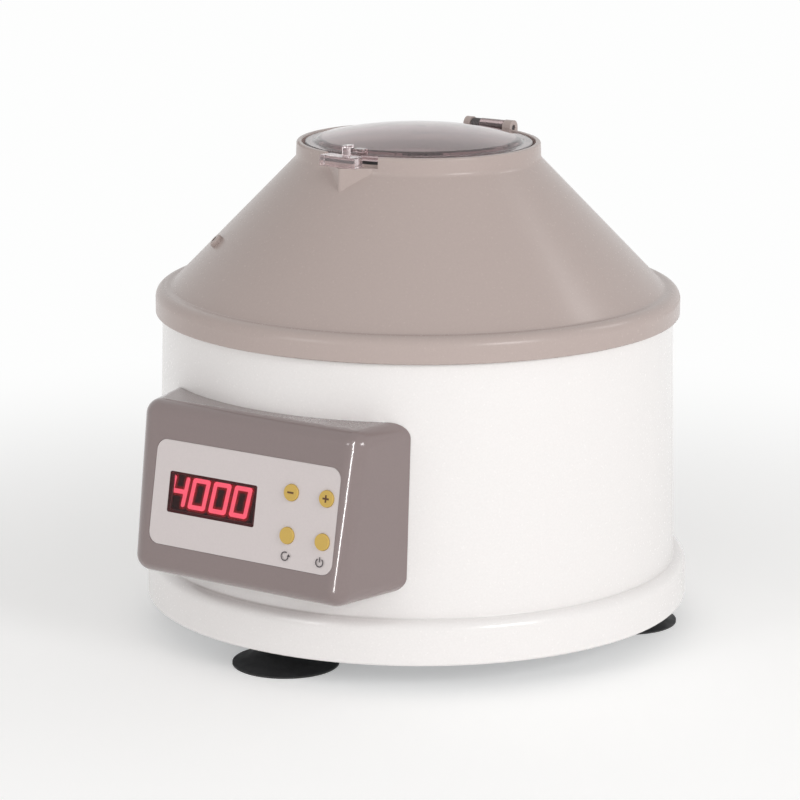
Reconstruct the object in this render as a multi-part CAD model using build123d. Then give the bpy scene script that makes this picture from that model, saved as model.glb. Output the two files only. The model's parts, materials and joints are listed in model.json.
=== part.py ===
"""Benchtop tube centrifuge: white drum, grey conical top cover, clear lid, front control box.

Millimetres, +Z up. The drum's axis stands on the Z direction and the control box faces -Y.
Everything is drawn about the drum's axis, then moved so that the origin is the middle of
the footprint on the bench.
"""
import os
from math import cos, radians, sin, sqrt, tan

from build123d import *

# ---------------------------------------------------------------- general clearances
slip_gap = 0.3          # between loose neighbours and around soft parts
running_gap = 0.05      # radial gap of a shaft, pin or plunger in its hole
wall = 3.0              # moulded wall of the housing and the top cover

# ---------------------------------------------------------------- white housing
skirt_radius = 132.5    # widest ring, at the foot of the housing
skirt_bottom = 14.0     # its lower edge above the bench
skirt_top = 35.0        # its shoulder, where the drum starts
skirt_round = 5.0       # rounding of that shoulder
drum_step = 5.9         # from the skirt in to the drum
drum_draft = 3.0        # the drum narrows upwards by this, for mould release
drum_foot_radius = skirt_radius - drum_step
drum_rim_radius = drum_foot_radius - drum_draft
drum_height = 125.5     # from the skirt's shoulder to the drum's rim
drum_rim = skirt_top + drum_height

# ---------------------------------------------------------------- grey top cover
band_gap = 0.9          # between the drum's rim and the band that drops over it
band_wall = 2.6
band_radius = drum_rim_radius + band_gap + band_wall
band_bottom = drum_rim - 6.7
band_round = 5.0
shoulder_height = drum_rim + 5.8               # flat step between the band and the cone
shoulder_width = 7.6
cone_foot_radius = band_radius - shoulder_width
cone_height = 62.2
cone_top = shoulder_height + cone_height
cone_blend = 3.0        # hollow rounding where the cone meets the collar
collar_wall = 2.5
collar_height = cone_top + 8.0                 # its upper edge
ledge_height = collar_height - 4.1             # step inside the collar that carries the lid
ledge_thickness = 3.0
ledge_width = 4.7

# ---------------------------------------------------------------- lid
lid_radius = 55.0
lid_gap = 1.2           # round the lid's edge
collar_bore = lid_radius + lid_gap
collar_radius = collar_bore + collar_wall
cone_top_radius = collar_radius + 0.3
mouth_radius = collar_bore - ledge_width       # the opening that the tubes go through
lid_flange = 2.3        # thickness of the flat rim
lid_rest = 1.5          # underside of the rim above the ledge
lid_rim_width = 4.5
dome_slope = 2.0        # width of the sloping step at the foot of the raised middle
dome_radius = lid_radius - lid_rim_width
dome_edge = dome_radius - dome_slope
dome_step = 1.8         # height of the step above the rim
dome_rise = 5.6         # crown above the step
lid_wall = 2.2

# ---------------------------------------------------------------- hinge, behind the lid
hinge_y = collar_bore + 1.3
hinge_z = collar_height + 0.3
hinge_left = -9.0       # outer faces of the two ears
hinge_right = 18.0
ear_width_left = 3.5
ear_width_right = 4.4
ear_radius = 3.8
lug_radius = 3.5
lug_width = 13.4
pin_radius = 1.5
spring_radius = 3.3
spring_wire = 0.9

# ---------------------------------------------------------------- latch, in front of the lid
notch_left = -15.6      # degrees about the drum's axis, to the right positive
notch_right = 14.6
notch_floor = collar_height - 5.3
prow_side = 15.5        # half of its width where it meets the collar
prow_root = lid_radius   # how far from the axis it meets the collar
prow_tip = 2.8          # tip of the pocket beyond the slider
prow_wall = 2.2
slider_left = -13.2
slider_right = 6.3
slider_gap = 1.5        # from the lid's edge to the slider
slider_depth = 8.1
slider_inner = lid_radius + slider_gap
slider_outer = slider_inner + slider_depth
prow_reach = slider_outer + prow_tip
slider_top = notch_floor + 5.0
slider_travel = 6.4     # degrees, to the locked end
stem_angle = -3.2       # middle of the slider's stem
stem_depth = 2.0        # radial thickness
stem_radius = slider_inner + stem_depth / 2
stem_width = 5.0
hook_left = -0.9        # the hook that reaches over the lid's tab
hook_right = 2.6
hook_lap = 2.6          # how far the hook reaches over the tab
hook_depth = 5.8
hook_thickness = 1.3
tab_left = 3.2          # the lid's tab, beside the hook when unlocked
tab_right = 8.6
tab_inner = lid_radius + 1.0
tab_depth = 4.8
tab_reach = tab_inner + tab_depth
tab_rise = 3.9          # above the lid's rim
tab_top = ledge_height + lid_rest + lid_flange + tab_rise
tab_thickness = 1.5
fin_angle = 5.2         # the upright fin that carries the tab
fin_thickness = 1.6
fin_inner = dome_radius + 1.4
fin_reach = tab_reach - 2.0
hook_inner = tab_reach - hook_lap
hook_outer = hook_inner + hook_depth
hook_top = tab_top + slip_gap + hook_thickness

cover_screw_angles = (145.0, 215.0, 285.0)   # round the back of the band, from the front
cover_screw_radius = 1.3
cover_screw_rise = 3.2  # above the band's lower edge

# ---------------------------------------------------------------- side port on the cone
port_angle = -47.0      # degrees from the front, to the left
port_height = shoulder_height + 22.7
port_radius = 3.4
port_rise = 2.4
port_hole = 1.6

# ---------------------------------------------------------------- chamber
bowl_sheet = 1.2
bowl_rise = 14.0        # its floor above the motor's upper end
bowl_hole = 20.0
bowl_rim_radius = drum_rim_radius - 0.6
bowl_taper = 11.0
bowl_bottom_radius = bowl_rim_radius - bowl_taper
bowl_lip = 4.0          # upstand round the shaft hole

# ---------------------------------------------------------------- base
plate_thickness = 2.0
plate_recess = 1.0      # base plate above the skirt's edge
base_boss_circle = skirt_radius - wall - 13.5
base_boss_radius = 5.0
base_boss_top = 44.0
base_screw_radius = 1.9
foot_inset = 29.0       # from the skirt to a foot's middle
foot_circle = skirt_radius - foot_inset
foot_turn = -93.0       # direction of the front foot; the others follow every 120 degrees
foot_rim_radius = 25.3
foot_neck_radius = 8.5
foot_stud_radius = 3.0

# ---------------------------------------------------------------- motor
mount_radius = 11.0
mount_height = 17.0
mount_bolt_radius = 2.5
cradle_thickness = 3.0
can_radius = 45.0
can_flange_radius = can_radius + 8.0
motor_screw_circle = can_radius + 4.2
mount_circle = can_flange_radius + 9.0         # rubber mounts
cradle_radius = mount_circle + 14.0
can_wall = 2.0
can_length = 67.0
can_flange_thickness = 3.0
shaft_radius = 5.0
thread_radius = 4.0     # the shaft's upper end, in the rotor nut
shaft_bottom = 29.0
bearing_radius = 13.0
bearing_width = 8.0
armature_radius = can_radius - 20.0
armature_length = 30.0
winding_length = 7.0
commutator_radius = 11.0
commutator_length = 8.5
air_gap = 0.8
speed_disc_radius = 14.0
pole_angle = 100.0      # span of each field pole

# ---------------------------------------------------------------- rotor and its sleeves
sleeve_count = 6
sleeve_tilt = 45.0      # from upright
sleeve_mouth_circle = mouth_radius - 15.5
sleeve_bore = 10.9
sleeve_wall = 1.2
sleeve_length = 92.0
sleeve_lip_radius = 14.2
sleeve_lip_thickness = 1.8
cushion_thickness = 9.0
hub_radius = 13.0
hub_top = ledge_height - 33.4
sleeve_mouth_height = hub_top + 14.5
dish_thickness = 4.0
seat_depth = 0.8        # flat seats of the sleeve lips, let into the dish
dish_reach = 17.0       # dish beyond the sleeve circle, along its slope
carrier_distance = 62.0  # lower carrier ring, along the sleeve from its mouth
carrier_half = 15.0
carrier_thickness = 3.5
rib_thickness = 3.5
nut_radius = 9.0
nut_height = 13.0

# ---------------------------------------------------------------- control box
box_height = 79.6
box_bottom = skirt_top + 12.0
box_top = box_bottom + box_height
box_front_half = 59.6   # half width at the face
box_rear_half = 67.6    # half width at its widest place, at the drum
box_inset = 16.6        # its widest place, from the drum's rim towards the axis
box_rear = drum_rim_radius - box_inset
face_overhang = 11.3    # beyond the skirt, at the height of the label's middle
face_distance = skirt_radius + face_overhang
face_height = box_bottom + 39.2                # height of the label's middle
face_tilt = 10.36       # degrees back from upright
box_side_round = 8.5
box_edge_round = 7.5
cable_window_width = 52.0   # through the drum's wall into the box
cable_window_low = box_bottom + 23.0
cable_window_high = cable_window_low + 32.0
box_x = -1.7            # middle of the box; the label stands this much to the right of it
box_wall = 2.5
label_width = 103.4
label_height = 48.8
label_round = 5.5
label_thickness = 0.5
label_recess = 0.6
window_width = 49.7
window_height = 19.2
window_x = -18.0        # middle of the display window on the face
window_y = 0.7
window_round = 1.0
lens_thickness = 1.5
display_depth = 8.0
button_radius = 3.9
button_x = 35.6         # middle of the four buttons on the face
button_y = 0.2
button_pitch_x = 19.4
button_pitch_y = 19.6
button_rise = 0.9
button_travel = 0.8
button_flange = 1.0     # flange width behind the face
board_width = 98.0
board_height = 46.0
board_thickness = 1.6
board_x = 3.0
box_screw_x = 40.0
box_screw_low = box_bottom + 10.5
box_screw_high = box_top - 11.1
box_boss_radius = 4.5
box_screw_radius = 1.5
box_screw_seat = drum_rim_radius - wall - 7.6   # flat for the screw heads inside the drum
switch_height = 3.5     # small push switches behind the buttons
plunger_height = 0.8

# ---------------------------------------------------------------- mains entry, at the back
recess_width = 62.0
recess_height = 54.0
recess_low = skirt_top + 9.0
recess_high = recess_low + recess_height
recess_depth = 5.6
recess_floor = drum_foot_radius - recess_depth  # flat panel's distance behind the axis
inlet_z = recess_low + 16.0
inlet_width = 27.0
inlet_height = 20.0
inlet_flange_width = 50.0
inlet_flange_height = 23.0
inlet_flange_thickness = 2.5
inlet_depth = 22.0
inlet_screw_spacing = 40.0
fuse_z = recess_low + 41.0
fuse_radius = 6.2
fuse_cap_radius = 7.6
fuse_length = 30.0

# ---------------------------------------------------------------- supply parts on the base plate
supply_inset = 35.5     # middles of the supply parts, from the skirt
transformer_x = supply_inset - skirt_radius
transformer_size = (32.0, 44.0, 34.0)
supply_x = skirt_radius - supply_inset
supply_board_size = (34.0, 68.0, 1.6)
supply_standoff = 6.0

# ================================================================ drawing helpers


def turned(points):
    """Solid of revolution about Z from (radius, height) corners; a third number rounds one."""
    face = make_face(Polyline(*[(p[0], p[1]) for p in points], close=True))
    for corner in [p for p in points if len(p) == 3]:
        vertex = face.vertices().sort_by_distance((corner[0], corner[1], 0))[0]
        face = fillet(vertex, corner[2])
    return revolve(Plane.XZ * face, Axis.Z)


def rod(radius, low, high, x=0.0, y=0.0):
    """Upright cylinder between two heights."""
    return Pos(x, y, low) * Cylinder(radius, high - low, align=(Align.CENTER, Align.CENTER, Align.MIN))


def tube(outer, inner, low, high, x=0.0, y=0.0):
    return rod(outer, low, high, x, y) - rod(inner, low - 1, high + 1, x, y)


def block(x_range, y_range, z_range):
    """Box between two corners, each range given low to high."""
    size = [pair[1] - pair[0] for pair in (x_range, y_range, z_range)]
    corner = Pos(x_range[0], y_range[0], z_range[0])
    return corner * Box(*size, align=(Align.MIN, Align.MIN, Align.MIN))


def sector(inner, outer, start, end, low, high):
    """Curved bar about Z; angles in degrees from the front (-Y), to the right positive."""
    ring = tube(outer, inner, low, high)
    middle = (start + end) / 2
    half = radians((end - start) / 2)
    reach = 2 * outer
    wedge = make_face(Polyline((0, 0), (reach * sin(half), -reach * cos(half)),
                               (-reach * sin(half), -reach * cos(half)), close=True))
    cutter = Rot(Z=middle) * Pos(0, 0, low - 1) * extrude(wedge, high - low + 2)
    return ring & cutter


def around(shape, count, first=0.0):
    """Copies of a shape spaced evenly about the drum's axis."""
    return [Rot(Z=first + 360.0 * index / count) * shape for index in range(count)]


def group(shapes):
    return Compound([solid for shape in shapes for solid in shape.solids()])


def screw(radius, length, head_radius, head_height):
    """Pan-head screw standing on its tip: the shank runs down from the origin, head on top."""
    head = fillet((rod(head_radius, 0, head_height)).edges().group_by(Axis.Z)[-1], head_height * 0.4)
    slot = Rot(Z=45) * (Box(head_radius * 1.2, 0.8, 1.4) + Box(0.8, head_radius * 1.2, 1.4))
    return head + rod(radius, -length, 0) - Pos(0, 0, head_height) * slot


# ================================================================ shared geometry

base_plate_low = skirt_bottom + plate_recess
base_plate_top = base_plate_low + plate_thickness
cone_slope = (cone_top - shoulder_height) / (cone_foot_radius - cone_top_radius)
cone_wall_drop = wall * sqrt(1 + cone_slope ** 2)      # the wall measured upright
bowl_rim_top = drum_rim + bowl_sheet


def drum_radius_at(height):
    """Outer radius of the tapered drum."""
    share = (height - skirt_top) / (drum_rim - skirt_top)
    return drum_foot_radius + (drum_rim_radius - drum_foot_radius) * share


def cone_inside_radius(height):
    """Radius of the cover's inner cone at a height."""
    return cone_top_radius + (cone_top - cone_wall_drop - height) / cone_slope


def drum_body(grow):
    """Solid of the drum's outer form, enlarged by a gap, used to trim what leans on it."""
    return turned([(0, skirt_top - 1), (drum_radius_at(skirt_top) + grow, skirt_top - 1),
                   (drum_rim_radius + grow, drum_rim), (0, drum_rim)])


# ---------------------------------------------------------------- motor stack heights
cradle_low = base_plate_top + mount_height
can_low = cradle_low + cradle_thickness
can_top = can_low + can_length
bowl_floor = can_top + bowl_rise
hub_bottom = bowl_floor + 6.0
bearing_boss_radius = bearing_radius + can_wall
lower_bearing = can_low + can_wall
upper_bearing = can_top
boss_top = upper_bearing + bearing_width + can_wall
commutator_low = lower_bearing + bearing_width + 0.5
armature_low = commutator_low + commutator_length + winding_length
armature_top = armature_low + armature_length

# ---------------------------------------------------------------- sleeve placing
tilt = radians(sleeve_tilt)
sleeve_outer = sleeve_bore + sleeve_wall


def on_sleeve(distance, across=0.0):
    """(radius, height) of a point down a sleeve's axis, and across it towards the rim."""
    radius = sleeve_mouth_circle + distance * sin(tilt) + across * cos(tilt)
    height = sleeve_mouth_height - distance * cos(tilt) + across * sin(tilt)
    return radius, height


def sleeve_place(index):
    """Location of one sleeve: its mouth at the origin and its axis running down local -Z."""
    turn = 360.0 / sleeve_count * index
    return Rot(Z=turn) * Pos(sleeve_mouth_circle, 0, sleeve_mouth_height) * Rot(Y=-sleeve_tilt)


# ---------------------------------------------------------------- control box placing
lean = radians(face_tilt)
face_plane = Plane(origin=(0, -face_distance, face_height), x_dir=(1, 0, 0),
                   z_dir=(0, -cos(lean), sin(lean)))
inner_face = -box_wall
label_front = label_thickness - label_recess
display_front = -box_wall - slip_gap
board_front = display_front - display_depth
board_rear = board_front - board_thickness


def on_face(sketch, front, depth):
    """Extrude a sketch drawn on the control face, from a level down into the box."""
    return extrude(face_plane * Pos(0, 0, front) * sketch, -depth, dir=face_plane.z_dir)


def face_disc(radius, x, y, front, depth):
    return on_face(Pos(x, y) * Circle(radius), front, depth)


def face_slab(width, height, rounding, x, y, front, depth):
    return on_face(Pos(x, y) * RectangleRounded(width, height, rounding), front, depth)


button_centres = {
    "button_minus": (button_x - button_pitch_x / 2, button_y + button_pitch_y / 2),
    "button_plus": (button_x + button_pitch_x / 2, button_y + button_pitch_y / 2),
    "button_mode": (button_x - button_pitch_x / 2, button_y - button_pitch_y / 2),
    "button_run": (button_x + button_pitch_x / 2, button_y - button_pitch_y / 2),
}
board_corners = [(board_x + side * (board_width / 2 - 3.5), end * (board_height / 2 - 3.5))
                 for side in (-1, 1) for end in (-1, 1)]
box_screw_places = [(side * box_screw_x, height) for side in (-1, 1)
                    for height in (box_screw_low, box_screw_high)]

ledge_low = ledge_height - ledge_thickness
shoulder_inner = shoulder_height - wall
band_inner = band_radius - band_wall
flange_low = ledge_height + lid_rest
flange_top = flange_low + lid_flange
ear_left_inner = hinge_left + ear_width_left
ear_right_inner = hinge_right - ear_width_right
lug_right = ear_right_inner - slip_gap
lug_left = lug_right - lug_width
cover_screw_places = [Rot(Z=angle) * Pos(0, -band_radius, band_bottom + cover_screw_rise) * Rot(X=90)
                      for angle in cover_screw_angles]


# ================================================================ housing and base


def mains_cutouts():
    """Inlet and fuse openings through the flat panel at the back."""
    across = (recess_floor - 10, recess_floor + 10)
    hole = block((-inlet_width / 2 - slip_gap, inlet_width / 2 + slip_gap), across,
                 (inlet_z - inlet_height / 2 - slip_gap, inlet_z + inlet_height / 2 + slip_gap))
    centre = Pos(0, recess_floor, fuse_z) * Rot(X=90)
    hole += centre * Cylinder(fuse_radius + slip_gap / 2, 20)
    for side in (-1, 1):
        place = Pos(side * inlet_screw_spacing / 2, recess_floor, inlet_z) * Rot(X=90)
        hole += place * Cylinder(box_screw_radius + running_gap, 20)
    return hole


def body_housing():
    """Moulded drum and skirt, open above and below."""
    inner_foot = drum_radius_at(skirt_top) - wall
    shell = turned([
        (skirt_radius, skirt_bottom, 1.0), (skirt_radius, skirt_top, skirt_round),
        (drum_foot_radius, skirt_top, 0.7), (drum_rim_radius, drum_rim),
        (drum_rim_radius - wall, drum_rim), (inner_foot, skirt_top - wall),
        (skirt_radius - wall, skirt_top - wall, 2.0), (skirt_radius - wall, skirt_bottom)])
    inside = turned([(0, skirt_bottom), (skirt_radius - wall - 0.5, skirt_bottom),
                     (drum_foot_radius - wall / 2, skirt_top - wall / 2),
                     (drum_rim_radius - wall / 2, drum_rim), (0, drum_rim)])
    boss = rod(base_boss_radius, base_plate_top, base_boss_top, base_boss_circle)
    web = block((base_boss_circle, drum_foot_radius), (-wall / 2, wall / 2),
                (skirt_top - wall, base_boss_top))
    for post in around((boss + web) & inside, 4, 45):
        shell += post
    for hole in around(rod(base_screw_radius + running_gap, base_plate_top - 1, base_boss_top - 4,
                           base_boss_circle), 4, 45):
        shell -= hole
    panel = block((-recess_width / 2 - wall, recess_width / 2 + wall),
                  (recess_floor - wall, drum_foot_radius - wall / 2),
                  (recess_low - wall, recess_high + wall))
    shell += panel & inside
    shell -= block((-recess_width / 2, recess_width / 2), (recess_floor, drum_foot_radius + 5),
                   (recess_low, recess_high))
    shell -= mains_cutouts()
    cable_window = block((-cable_window_width / 2, cable_window_width / 2),
                         (-drum_foot_radius - wall, -box_rear), (cable_window_low, cable_window_high))
    shell -= cable_window
    for x, height in box_screw_places:
        axis_line = Pos(x, -box_screw_seat, height) * Rot(X=90)
        shell += axis_line * rod(5.5, 0, 10) & inside
        shell -= axis_line * rod(box_screw_radius + slip_gap, -1, 20)
    for place in cover_screw_places:
        shell -= place * rod(cover_screw_radius + running_gap, -8, 1)
    return shell


def base_plate():
    plate = rod(skirt_radius - wall - slip_gap, base_plate_low, base_plate_top)
    low, high = base_plate_low - 1, base_plate_top + 1
    for hole in around(rod(base_screw_radius + slip_gap, low, high, base_boss_circle), 4, 45):
        plate -= hole
    for hole in around(rod(foot_stud_radius + slip_gap / 2, low, high, foot_circle), 3, foot_turn):
        plate -= hole
    for hole in around(rod(mount_bolt_radius + slip_gap / 2, low, high, mount_circle), 3, 90):
        plate -= hole
    vent = Pos(0, 0, low) * extrude(SlotCenterToCenter(20, 4), high - low)
    for slot in around(Pos(26, 0, 0) * vent, 8, 22.5):
        plate -= slot
    return plate


def base_screws():
    """Screws up through the base plate into the housing's bosses."""
    one = Pos(base_boss_circle, 0, base_plate_low) * Rot(X=180) * screw(
        base_screw_radius, 16, 3.8, 2.2)
    return group(around(one, 4, 45))


def suction_foot():
    """Rubber suction cup with a thin flared rim."""
    neck_top = base_plate_low
    cup = turned([
        (foot_rim_radius, 0), (foot_rim_radius, 0.9), (foot_rim_radius * 0.72, 3.2, 10),
        (foot_neck_radius + 2, 7.5, 4), (foot_neck_radius, neck_top),
        (0, neck_top), (0, 5.2), (foot_rim_radius * 0.5, 4.0, 12), (foot_rim_radius - 2.0, 0)])
    return cup - rod(foot_stud_radius + running_gap, 8.0, neck_top + 1)


def foot_studs():
    stud = rod(foot_stud_radius, 8.0, base_plate_top + 9, foot_circle)
    return group(around(stud, 3, foot_turn))


def lock_nuts():
    """Nuts of the feet, on the base plate, and of the motor mounts, on the cradle."""
    def nut(across, bore, height):
        return extrude(RegularPolygon(across, 6), height) - rod(bore, -1, height + 1)

    foot_nut = Pos(foot_circle, 0, base_plate_top) * nut(5.7, foot_stud_radius + running_gap, 5)
    mount_nut = Pos(mount_circle, 0, can_low) * nut(4.6, mount_bolt_radius + running_gap, 4)
    return group(around(foot_nut, 3, foot_turn) + around(mount_nut, 3, 90))


# ================================================================ motor


def rubber_mounts():
    half = mount_height / 2
    mount = turned([
        (mount_bolt_radius + slip_gap, -half), (mount_radius, -half), (mount_radius, -half + 3),
        (mount_radius - 2.5, 0, 4), (mount_radius, half - 3), (mount_radius, half),
        (mount_bolt_radius + slip_gap, half)])
    return group(around(Pos(mount_circle, 0, base_plate_top + half) * mount, 3, 90))


def mount_bolts():
    bolt = Pos(mount_circle, 0, base_plate_low) * Rot(X=180) * screw(
        mount_bolt_radius, can_low + 6 - base_plate_low, 4.5, 2.6)
    return group(around(bolt, 3, 90))


def motor_cradle():
    """Steel plate on the rubber mounts that carries the motor by its flange."""
    room = (transformer_x + transformer_size[0] / 2 + 1.0, supply_x - supply_board_size[0] / 2 - 1.0)
    plate = rod(cradle_radius, cradle_low, can_low) - rod(30, cradle_low - 1, can_low + 1)
    plate &= block(room, (-cradle_radius, cradle_radius), (cradle_low, can_low))
    plate -= around_cut(rod(mount_bolt_radius + slip_gap / 2, cradle_low - 1, can_low + 1,
                            mount_circle), 3, 90)
    plate -= around_cut(rod(16, cradle_low - 1, can_low + 1, cradle_radius + 4), 3, 30)
    plate -= around_cut(rod(1.6 + running_gap, cradle_low - 1, can_low + 1, motor_screw_circle),
                        4, 45)
    return plate


def around_cut(shape, count, first):
    """The same copies as one body, ready to be cut away."""
    copies = around(shape, count, first)
    body = copies[0]
    for copy in copies[1:]:
        body += copy
    return body


def motor_housing():
    can = turned([
        (can_flange_radius, can_low), (can_flange_radius, can_low + can_flange_thickness),
        (can_radius, can_low + can_flange_thickness), (can_radius, can_top, 4),
        (bearing_boss_radius, can_top), (bearing_boss_radius, boss_top, 1),
        (shaft_radius + 1.5, boss_top), (shaft_radius + 1.5, boss_top - can_wall),
        (bearing_radius + running_gap, boss_top - can_wall),
        (bearing_radius + running_gap, can_top - can_wall),
        (can_radius - can_wall, can_top - can_wall, 2), (can_radius - can_wall, can_low)])
    vents = Pos(can_radius - 5, 0, can_low + 14) * Rot(Y=90) * extrude(
        SlotCenterToCenter(9, 4), 10)
    can -= around_cut(vents, 8, 0)
    can -= around_cut(rod(1.6 + running_gap, can_low - 1, can_low + can_flange_thickness + 1,
                          motor_screw_circle), 4, 45)
    return can


def motor_end_cap():
    floor = rod(can_radius - can_wall - running_gap, can_low, lower_bearing)
    boss = rod(bearing_boss_radius, lower_bearing, lower_bearing + bearing_width)
    seat = rod(bearing_radius + running_gap, lower_bearing, lower_bearing + bearing_width + 1)
    return floor + boss - seat - rod(shaft_radius + 1.5, can_low - 1, lower_bearing + 1)


def motor_bearings():
    rings = [tube(bearing_radius, shaft_radius + running_gap, low, low + bearing_width)
             for low in (lower_bearing, upper_bearing)]
    groove = tube(bearing_radius - 2.5, shaft_radius + 2.5, 0, 1)
    cut = [Pos(0, 0, low + offset) * groove for low in (lower_bearing, upper_bearing)
           for offset in (-0.5, bearing_width - 0.5)]
    return group([rings[0] - cut[0] - cut[1], rings[1] - cut[2] - cut[3]])


def motor_screws():
    one = Pos(motor_screw_circle, 0, can_low + can_flange_thickness) * screw(1.6, 8, 2.9, 1.9)
    return group(around(one, 4, 45))


def field_core():
    """Laminated stator ring with two salient poles, front and back."""
    ring_inner = can_radius - can_wall - 7
    core = tube(can_radius - can_wall - slip_gap, ring_inner, armature_low, armature_top)
    for middle in (0, 180):
        core += sector(armature_radius + air_gap, ring_inner + 1, middle - pole_angle / 2,
                       middle + pole_angle / 2, armature_low, armature_top)
    return core


def field_coils():
    """Copper bars of the two field coils, beside the poles."""
    inner = armature_radius + air_gap + 1.5
    outer = can_radius - can_wall - 7 - slip_gap
    gap = 2.0
    start, end = pole_angle / 2 + gap, 90 - gap / 2
    spans = [(start, end), (-end, -start), (180 - end, 180 - start), (180 + start, 180 + end)]
    return group([sector(inner, outer, first, last, armature_low - 4, armature_top + 4)
                  for first, last in spans])


def armature_core():
    core = tube(armature_radius, shaft_radius, armature_low, armature_top)
    slot = block((armature_radius - 9, armature_radius + 1), (-1.3, 1.3),
                 (armature_low - 1, armature_top + 1))
    return core - around_cut(slot, 12, 15)


def armature_windings():
    head = [(shaft_radius + 3, 0), (armature_radius - 3, 0), (armature_radius - 3, winding_length, 3),
            (shaft_radius + 3, winding_length)]
    return group([Pos(0, 0, armature_low - winding_length) * turned(head),
                  Pos(0, 0, armature_top) * turned(head)])


def commutator():
    body = tube(commutator_radius, shaft_radius, commutator_low,
                commutator_low + commutator_length)
    slit = block((commutator_radius - 1, commutator_radius + 1), (-0.25, 0.25),
                 (commutator_low - 1, commutator_low + commutator_length - 1.5))
    return body - around_cut(slit, 12, 0)


def brush_holders():
    """Brass guides standing on the end cap, left and right of the commutator."""
    middle = commutator_low + commutator_length / 2
    guide = block((commutator_radius + 4, can_radius - can_wall - 4), (-4.5, 4.5),
                  (middle - 3.7, middle + 3.7))
    guide -= block((commutator_radius, can_radius), (-3 - running_gap, 3 + running_gap),
                   (middle - 2.5 - running_gap, middle + 2.5 + running_gap))
    leg = block((bearing_boss_radius + 4, bearing_boss_radius + 10), (-4.5, 4.5),
                (lower_bearing, middle - 3.7))
    return group(around(guide + leg, 2))


def carbon_brushes():
    middle = commutator_low + commutator_length / 2
    brush = block((commutator_radius + slip_gap, commutator_radius + 14), (-3, 3),
                  (middle - 2.5, middle + 2.5))
    return group(around(brush, 2))


def motor_shaft():
    return (rod(shaft_radius, shaft_bottom, hub_top - 2)
            + rod(thread_radius, hub_top - 2, hub_top + nut_height - 3))


def speed_disc():
    """Slotted disc under the motor, read by the speed sensor."""
    disc = tube(speed_disc_radius, shaft_radius, shaft_bottom + 1, shaft_bottom + 2.2)
    notch = block((speed_disc_radius - 4, speed_disc_radius + 1), (-1.5, 1.5),
                  (shaft_bottom, shaft_bottom + 4))
    return disc - around_cut(notch, 8, 0)


def speed_sensor():
    """Fork-shaped light barrier on a post from the base plate, astride the disc's edge."""
    top = shaft_bottom + 4.7
    fork = block((speed_disc_radius - 4, speed_disc_radius + 8), (-3, 3), (base_plate_top, top))
    fork -= block((speed_disc_radius - 5, speed_disc_radius + 1.5), (-4, 4),
                  (shaft_bottom - 0.5, shaft_bottom + 2.9))
    return fork


# ================================================================ rotor


def rotor_head():
    """Fixed-angle head: hub, sloping dish, lower carrier ring and six pierced ribs."""
    hub = tube(hub_radius, shaft_radius, hub_bottom, hub_top - 2)
    hub += tube(hub_radius, thread_radius + slip_gap, hub_top - 2, hub_top)
    seat = sleeve_lip_thickness
    dish_top = seat - seat_depth
    dish_low = dish_top + dish_thickness

    def inward(distance):
        return on_sleeve(distance, (hub_radius - 1 - on_sleeve(distance)[0]) / cos(tilt))

    dish = turned([inward(dish_top), on_sleeve(dish_top, dish_reach),
                   on_sleeve(dish_low, dish_reach), inward(dish_low)])
    low = carrier_distance + carrier_thickness
    carrier = turned([on_sleeve(carrier_distance, -carrier_half),
                      on_sleeve(carrier_distance, carrier_half),
                      on_sleeve(low, carrier_half), on_sleeve(low, -carrier_half)])
    web = make_face(Polyline(
        (hub_radius - 1, hub_bottom + 8), on_sleeve(low, -carrier_half / 2),
        on_sleeve(carrier_distance, carrier_half / 2),
        on_sleeve((dish_top + dish_low) / 2, dish_reach - 3),
        inward((dish_top + dish_low) / 2), close=True))
    window = on_sleeve(carrier_distance / 2 + 2, -carrier_half * 0.9)
    web -= Pos(*window) * Circle(carrier_half * 0.85)
    rib = extrude(Plane.XZ * web, rib_thickness / 2, both=True)
    head = hub + dish + carrier
    for copy in around(rib, sleeve_count, 180.0 / sleeve_count):
        head += copy
    clear = sleeve_outer + slip_gap / 2
    for index in range(sleeve_count):
        head -= sleeve_place(index) * rod(clear, -sleeve_length, 1)
        head -= sleeve_place(index) * rod(sleeve_lip_radius + slip_gap, -seat, 12)
    return head


def tube_sleeve(index):
    """Metal cup that holds a tube, hung by its lip in the dish."""
    floor = -sleeve_length
    cup = turned([
        (sleeve_bore, 0), (sleeve_lip_radius, 0, 0.5), (sleeve_lip_radius, -sleeve_lip_thickness),
        (sleeve_outer, -sleeve_lip_thickness), (sleeve_outer, floor, 8), (0, floor),
        (0, floor + sleeve_wall), (sleeve_bore, floor + sleeve_wall, 8 - sleeve_wall)])
    return sleeve_place(index) * cup


def tube_sleeves():
    """All the sleeves but the last, which lifts out as a piece of its own."""
    return group([tube_sleeve(index) for index in range(sleeve_count - 1)])


def sleeve_cushions():
    """Rubber pads in the bottoms of the cups."""
    floor = -sleeve_length + sleeve_wall
    radius = sleeve_bore - slip_gap
    pad = turned([(0, floor), (radius, floor, 8 - sleeve_wall), (radius, floor + cushion_thickness),
                  (radius - 3, floor + cushion_thickness - 1.5), (0, floor + cushion_thickness - 2.5)])
    return group([sleeve_place(index) * pad for index in range(sleeve_count)])


def rotor_nut():
    """Domed nut that clamps the head on the shaft."""
    hexagon = extrude(RegularPolygon(nut_radius, 6), nut_height * 0.55)
    flange = turned([(0, 0), (nut_radius + 2.5, 0), (nut_radius + 2.5, 1.6, 0.5), (0, 1.6)])
    dome = turned([(0, 0), (nut_radius * 0.82, 0), (nut_radius * 0.82, nut_height, 5.5),
                   (0, nut_height)])
    return Pos(0, 0, hub_top) * (hexagon + flange + dome
                                 - rod(thread_radius + running_gap, -1, nut_height - 2.5))


# ================================================================ chamber


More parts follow.
